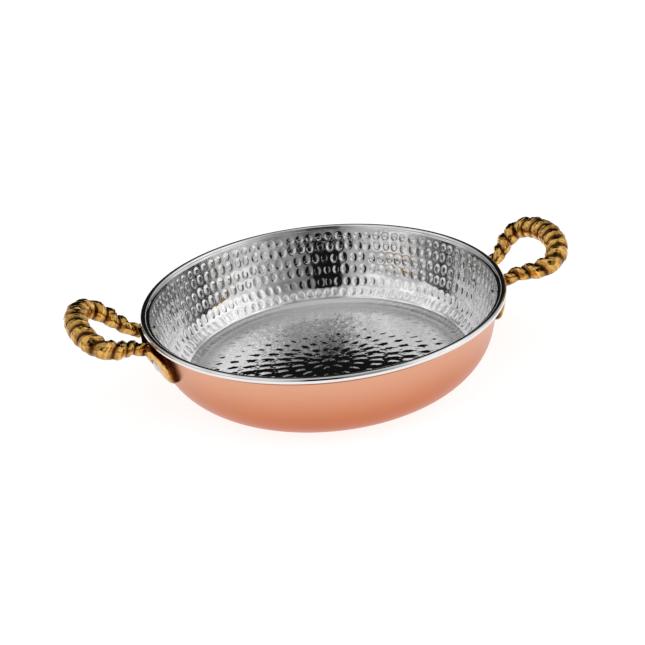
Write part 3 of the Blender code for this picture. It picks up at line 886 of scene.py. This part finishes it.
def copy_at(pattern, name, matrix):
    """A copy of a pattern with its own mesh, and its place in that mesh."""
    copy = pattern.copy()
    copy.data = pattern.data.copy()
    copy.name = copy.data.name = name
    copy.data.transform(matrix)
    bpy.context.collection.objects.link(copy)
    return copy


for node, around_rim in RIVETS.items():
    rivet = copy_at(rivet_pattern, "set_" + node, rivet_frame(around_rim))
    finish_piece(rivet, rivet_metal, "rivet_metal", node)
bpy.data.objects.remove(rivet_pattern)

# %% [markdown]
# ## Rope handles
# Each handle is one brass casting: a bracket that lies on the wall and a loop like a thick rope,
# fattest at its crown. The loop starts as a cylinder, cut into many rings, whose points are then
# laid round the loop's middle line. A curve with a round bevel could not do this, because every
# point's distance from the middle line also carries the strands.

# %% Middle line of the loop
LOOP_ROOT_STANDOFF = 3.0 * MM
LOOP_ROOT_DROP = 5.5 * MM
LOOP_ROOT_HALF_GAP = 12.7 * MM
LOOP_HALF_WIDTH = 25.5 * MM
LOOP_LENGTH = 34.3 * MM
LOOP_CROWN_DEPTH = 12.1 * MM
LOOP_SWELL_REACH = 10.6 * MM
LOOP_SPREAD = math.radians(6.4)
LOOP_TILT = math.radians(27.8)
LOOP_ROOT_REACH = 5.3 * MM
LINE_STEPS = 60


def bezier(a, b, c, d, t):
    """Point of a cubic curve."""
    return a * (1 - t)**3 + b * 3 * t * (1 - t)**2 + c * 3 * t**2 * (1 - t) + d * t**3


def loop_line():
    """Middle line of the whole loop in its own plane: (sideways, outwards), root to root."""
    root = Vector((LOOP_ROOT_HALF_GAP, 0))
    shoulder = Vector((LOOP_HALF_WIDTH, LOOP_LENGTH - LOOP_CROWN_DEPTH))
    rise = Vector((math.sin(LOOP_SPREAD), math.cos(LOOP_SPREAD))) * LOOP_SWELL_REACH
    swell = Vector((0, LOOP_SWELL_REACH))
    half = [root - rise.normalized() * LOOP_ROOT_REACH]
    half += [bezier(root, root + rise, shoulder - swell, shoulder, t)
             for t in steps_between(0, 1, LINE_STEPS)]
    for turn in steps_between(0, math.pi / 2, LINE_STEPS)[1:]:
        crown = Vector((LOOP_HALF_WIDTH * math.cos(turn), LOOP_CROWN_DEPTH * math.sin(turn)))
        half.append(Vector((0, LOOP_LENGTH - LOOP_CROWN_DEPTH)) + crown)
    whole = half + [Vector((-p.x, p.y)) for p in half[-2::-1]]
    return np.array([[p.x, p.y] for p in whole])


line_points = loop_line()
line_runs = run_lengths(line_points)
print("rope is", round(line_runs[-1] / MM, 1), "mm long")

# %% [markdown]
# The strands lie square across the crown and lean towards it on both legs, alike on the upper and
# the lower face, as the two halves of a casting mould leave them. Between two strands is a sharp
# groove, deep on top and shallow underneath, and each strand carries fine lines of its own. Small
# dents all over it are left from the casting.

# %% Rope surface
ROPE_LEG_RADIUS = 3.4 * MM
ROPE_CROWN_RADIUS = 6.4 * MM
ROPE_GROOVE_DEPTH = 1.7 * MM
ROPE_CREST_RISE = 0.45 * MM
ROPE_UNDERSIDE_SHARE = 0.35
ROPE_SLANT_SHARE = 0.55
STRAND_COUNT = 15
ROPE_SIDES = 80
RINGS_PER_STRAND = 30
FINE_LINE_DEPTH = 0.16 * MM
FINE_LINE_WIDTH_SHARE = 0.035
FINE_LINE_SHARES = (0.26, 0.5, 0.74)
ROPE_DENTS = (2.4 * MM, 0.38 * MM)
# Patina in the grooves, how far it spreads from them and its share on fine lines, and the share of
# painted shade underneath
GROOVE_PATINA_SHARES = (0.35, 1.0)
GROOVE_PATINA_POWER = 1.8
FINE_LINE_PATINA_SHARE = 0.16
UNDERSIDE_PAINTED_SHADE_SHARE = 0.42


def rope_surface(share, around):
    """Distance from the rope's middle to its surface, and how much patina and painted shade lies at
    each point.
    """
    body = ROPE_LEG_RADIUS + (ROPE_CROWN_RADIUS - ROPE_LEG_RADIUS) * np.sin(math.pi * share)
    slant = -ROPE_SLANT_SHARE * np.cos(math.pi * share) * np.cos(around)
    phase = STRAND_COUNT * share + slant
    strand = np.abs(np.sin(math.pi * phase))
    upper = (1 + np.sin(around)) / 2
    depth = ROPE_GROOVE_DEPTH * (ROPE_UNDERSIDE_SHARE + (1 - ROPE_UNDERSIDE_SHARE) * upper)
    fine = np.zeros_like(share)
    for place in FINE_LINE_SHARES:
        fine += np.exp(-(((phase % 1) - place) / FINE_LINE_WIDTH_SHARE)**2)
    radius = body + ROPE_CREST_RISE * upper - depth * (1 - strand) - FINE_LINE_DEPTH * fine * upper
    below, above = GROOVE_PATINA_SHARES
    patina_and_shade = (1 - strand)**GROOVE_PATINA_POWER * (below + (above - below) * upper)
    # Painted shade on the rope's underside, added to the patina share
    patina_and_shade += FINE_LINE_PATINA_SHARE * fine + UNDERSIDE_PAINTED_SHADE_SHARE * (1 - upper)
    return radius, np.clip(patina_and_shade, 0, 1)


# %% Rope loop from a cylinder
OUTWARD = np.array([math.cos(LOOP_TILT), 0, math.sin(LOOP_TILT)])
SIDEWAYS = np.array([0, 1, 0])
LOOP_UP = np.cross(OUTWARD, SIDEWAYS)
LOOP_ORIGIN = np.array([RIM_RADIUS + LOOP_ROOT_STANDOFF, 0, BEAD_CENTRE.y - LOOP_ROOT_DROP])


def ringed_cylinder(name, sides, rings):
    """A cylinder of unit size along Z, cut into rings."""
    deselect_all()
    bpy.ops.mesh.primitive_cylinder_add(vertices=sides, radius=1, depth=1, end_fill_type='NGON')
    obj = bpy.context.object
    obj.name = obj.data.name = name
    bpy.ops.object.mode_set(mode='EDIT')
    bpy.ops.mesh.select_mode(type='EDGE')
    bpy.ops.mesh.select_all(action='DESELECT')
    bpy.ops.object.mode_set(mode='OBJECT')
    for edge in obj.data.edges:
        low, high = (obj.data.vertices[v].co.z for v in edge.vertices)
        edge.select = abs(low - high) > 0.5
    bpy.ops.object.mode_set(mode='EDIT')
    bpy.ops.mesh.subdivide_edgering(number_cuts=rings - 1, interpolation='LINEAR')
    bpy.ops.object.mode_set(mode='OBJECT')
    return obj


def along_loop(run):
    """Points of the loop's middle line at some lengths from its start."""
    return np.stack([np.interp(run, line_runs, line_points[:, k]) for k in (0, 1)], 1)


rope_loop = ringed_cylinder("rope_loop", ROPE_SIDES, STRAND_COUNT * RINGS_PER_STRAND)
co = read_points(rope_loop)
share = np.clip(co[:, 2] + 0.5, 0, 1)
around = np.arctan2(co[:, 1], co[:, 0])
run = share * line_runs[-1]
middle = along_loop(run)
tangent = along_loop(run + MM) - along_loop(run - MM)
tangent /= np.linalg.norm(tangent, axis=1)[:, None]
away = tangent[:, 1:2] * SIDEWAYS - tangent[:, 0:1] * OUTWARD
rope_radius, rope_patina_and_shade = rope_surface(share, around)
spoke = away * np.cos(around)[:, None] + LOOP_UP * np.sin(around)[:, None]
core = LOOP_ORIGIN + middle[:, 0:1] * SIDEWAYS + middle[:, 1:2] * OUTWARD
co = core + spoke * rope_radius[:, None]
dents = np.clip(ROPE_DENTS[1] / 2 + ripple(co, *ROPE_DENTS), 0, None)
dents[(share <= 0) | (share >= 1)] = 0
co = core + spoke * (rope_radius - dents)[:, None]
write_points(rope_loop, co)
rope_co = co
print("rope loop has", len(co), "points")

# %% [markdown]
# The bracket is made the same way: a cylinder along the wall whose rings become the bracket's
# sections. Each section lies on the wall with its flat side and bulges outwards, and the two ears
# swell out below the roots of the loop and round off at their tips.

# %% Bracket
EAR_HALF_SPAN = 31.6 * MM
EAR_DEPTH = 21.0 * MM
EAR_THICKNESS = 7.0 * MM
EAR_STATIONS = 60
EAR_LINE_STEPS = (16, 4, 8)
# Rows from the middle to the tip: place along the half span, top and bottom edge as shares of the
# ear's depth below the bead's middle, and share of the thickness
EAR_SHARES = (
    (0.00, 0.19, 0.47, 0.72),
    (0.20, 0.18, 0.50, 0.84),
    (0.36, 0.17, 0.60, 1.00),
    (0.55, 0.20, 0.86, 0.76),
    (0.72, 0.27, 0.99, 0.67),
    (0.87, 0.33, 1.00, 0.63),
    (0.96, 0.39, 0.97, 0.60),
    (1.00, 0.45, 0.91, 0.52),
)
# Section of the bracket: place from its top edge to its bottom edge, share of the thickness, and
# how much patina and painted shade lies there; the dark share on the upper and lower sides is painted
# shade
EAR_SECTION_SHARES = (
    (0.00, 0.00, 1.00), (0.00, 0.76, 0.62), (0.08, 0.96, 0.10), (0.30, 1.00, 0.30),
    (0.52, 1.00, 0.22), (0.72, 0.97, 0.34), (0.90, 0.84, 0.42), (0.99, 0.50, 0.60),
    (1.00, 0.00, 1.00), (0.67, 0.00, 1.00), (0.33, 0.00, 1.00),
)


def smooth_between(table, place):
    """Row of values at a place, with an even tangent through the rows on both sides."""
    i = max(j for j in range(len(table) - 1) if table[j][0] <= place)
    a, b = table[i], table[i + 1]
    before = table[i - 1] if i > 0 else (-table[1][0], *table[1][1:])
    after = table[i + 2] if i + 2 < len(table) else b
    width = b[0] - a[0]
    t = (place - a[0]) / width
    values = []
    for k in range(1, len(a)):
        slope_a = (b[k] - before[k]) / (b[0] - before[0]) * width
        slope_b = (after[k] - a[k]) / (after[0] - a[0]) * width
        values.append(bezier(a[k], a[k] + slope_a / 3, b[k] - slope_b / 3, b[k], t))
    return values


wall_line = np.array([[p.y, p.x] for p in wall_face(STACK, EAR_LINE_STEPS)])
bracket = ringed_cylinder("bracket", len(EAR_SECTION_SHARES), EAR_STATIONS)
co = read_points(bracket)
bracket_patina_and_shade = np.zeros(len(co))
for i, (x, y, z) in enumerate(co):
    place = 2 * z
    top, bottom, thickness = smooth_between(EAR_SHARES, min(abs(place), 1))
    corner = round(math.atan2(x, y) / math.tau * len(EAR_SECTION_SHARES)) % len(EAR_SECTION_SHARES)
    down, out, bracket_patina_and_shade[i] = EAR_SECTION_SHARES[corner]
    height = BEAD_CENTRE.y - EAR_DEPTH * (top + (bottom - top) * down)
    stand = FIT_GAP / math.cos(FLARE_LEAN) + EAR_THICKNESS * thickness * out
    reach_out = np.interp(height, wall_line[:, 0], wall_line[:, 1]) + stand
    angle = place * EAR_HALF_SPAN / RIVET_WALL_RADIUS
    co[i] = (reach_out * math.cos(angle), reach_out * math.sin(angle), height)
write_points(bracket, co)
casting_co = np.concatenate([rope_co, co])
casting_patina_and_shade = np.concatenate([rope_patina_and_shade, bracket_patina_and_shade])
work_on(bracket)
bpy.ops.object.mode_set(mode='EDIT')
face_outwards(bracket)
bpy.ops.object.mode_set(mode='OBJECT')
print("bracket has", len(co), "points")

# %% [markdown]
# The loop is joined to the bracket with a Boolean union, so the casting is one closed skin, and a
# stepped cutter sinks the two seats where the rivet heads lie. The union leaves faces with many
# sides, which are split into triangles so that they stay closed in any file.

# %% One casting
HOLE_CLEARANCE = 0.3 * MM
SEAT_MARGIN = 0.7 * MM
CUT_OVERRUN = 3.0 * MM


def apply_modifier(obj, kind, **settings):
    """Add a modifier, set it and apply it."""
    work_on(obj)
    modifier = obj.modifiers.new(kind.title(), kind)
    for name, value in settings.items():
        setattr(modifier, name, value)
    bpy.ops.object.modifier_apply(modifier=modifier.name)


hole = SHANK_RADIUS + HOLE_CLEARANCE
seat_radius = OUTER_HEAD[0] + SEAT_MARGIN
seat_floor = FIT_GAP + RIVET_SEAT_THICKNESS
seat_top = EAR_THICKNESS + CUT_OVERRUN
seat_section = [Vector(p) for p in (
    (0, -STACK - CUT_OVERRUN), (hole, -STACK - CUT_OVERRUN), (hole, seat_floor),
    (seat_radius, seat_floor), (seat_radius, seat_top), (0, seat_top))]
cutter_pattern = spin_section("seat_cutter", seat_section, RIVET_TURNS)

apply_modifier(bracket, 'BOOLEAN', operation='UNION', solver='EXACT', object=rope_loop)
for side in (-1, 1):
    cutter = copy_at(cutter_pattern, "seat_cutter_copy", rivet_frame(side * RIVET_ANGLE))
    apply_modifier(bracket, 'BOOLEAN', operation='DIFFERENCE', solver='EXACT', object=cutter)
    bpy.data.objects.remove(cutter)
for used in (cutter_pattern, rope_loop):
    bpy.data.objects.remove(used)
work_on(bracket)
bpy.ops.object.mode_set(mode='EDIT')
bpy.ops.mesh.select_all(action='SELECT')
bpy.ops.mesh.quads_convert_to_tris(quad_method='BEAUTY', ngon_method='BEAUTY')
bpy.ops.object.mode_set(mode='OBJECT')
print("casting has", len(bracket.data.vertices), "points")

# %% [markdown]
# Old brass keeps a dark red-brown patina where no hand or cloth reaches, in the grooves between the
# strands. Under the loop and on the bracket's upper side behind the rim the same dark colour is
# painted shade. Each point of the casting takes its share of patina and painted shade from the
# nearest point of the two shapes that it was joined from.

# %% Patina and painted shade as an attribute
tree = search_tree(casting_co)
co = read_points(bracket)
patina_and_shade = np.array([casting_patina_and_shade[tree.find(point)[1]] for point in co], np.float32)
print("mean share of patina", round(float(patina_and_shade.mean()), 2))
bracket.data.attributes.new("patina_and_shade", 'FLOAT', 'POINT').data.foreach_set("value", patina_and_shade)
work_on(bracket)
bpy.ops.object.shade_smooth_by_angle(angle=EDGE_ANGLE)

# %% Patina and painted shade in the brass
# One dark colour for the patina in the grooves and for the painted shade under the loop and on the
# bracket's upper side
PATINA_AND_SHADE_COLOUR = (0.085, 0.027, 0.006)
PATINA_AND_SHADE_RANGE = (0.10, 0.75)
brass_tree = brass_metal.node_tree
brass_shader = brass_tree.nodes["Principled BSDF"]
clean_colour = brass_shader.inputs["Base Color"].links[0].from_socket
stored = add_node(brass_tree, 'ShaderNodeAttribute', attribute_name="patina_and_shade").outputs["Fac"]
patina_and_shade_share = ease(brass_tree, stored, *PATINA_AND_SHADE_RANGE)
patina_and_shade_tone = blend(brass_tree, patina_and_shade_share, clean_colour, (*PATINA_AND_SHADE_COLOUR, 1), 'RGBA')
brass_tree.links.new(patina_and_shade_tone, brass_shader.inputs["Base Color"])
print(brass_metal.name, "now has", len(brass_tree.nodes), "nodes")

# %% Two handles
HANDLES = {
    "right_rope_handle": ("right_handle", 0),
    "left_rope_handle": ("left_handle", math.pi),
}
for name, (node, turn) in HANDLES.items():
    handle = copy_at(bracket, name, Matrix.Rotation(turn, 4, 'Z'))
    finish_piece(handle, brass_metal, "brass", node)
bpy.data.objects.remove(bracket)
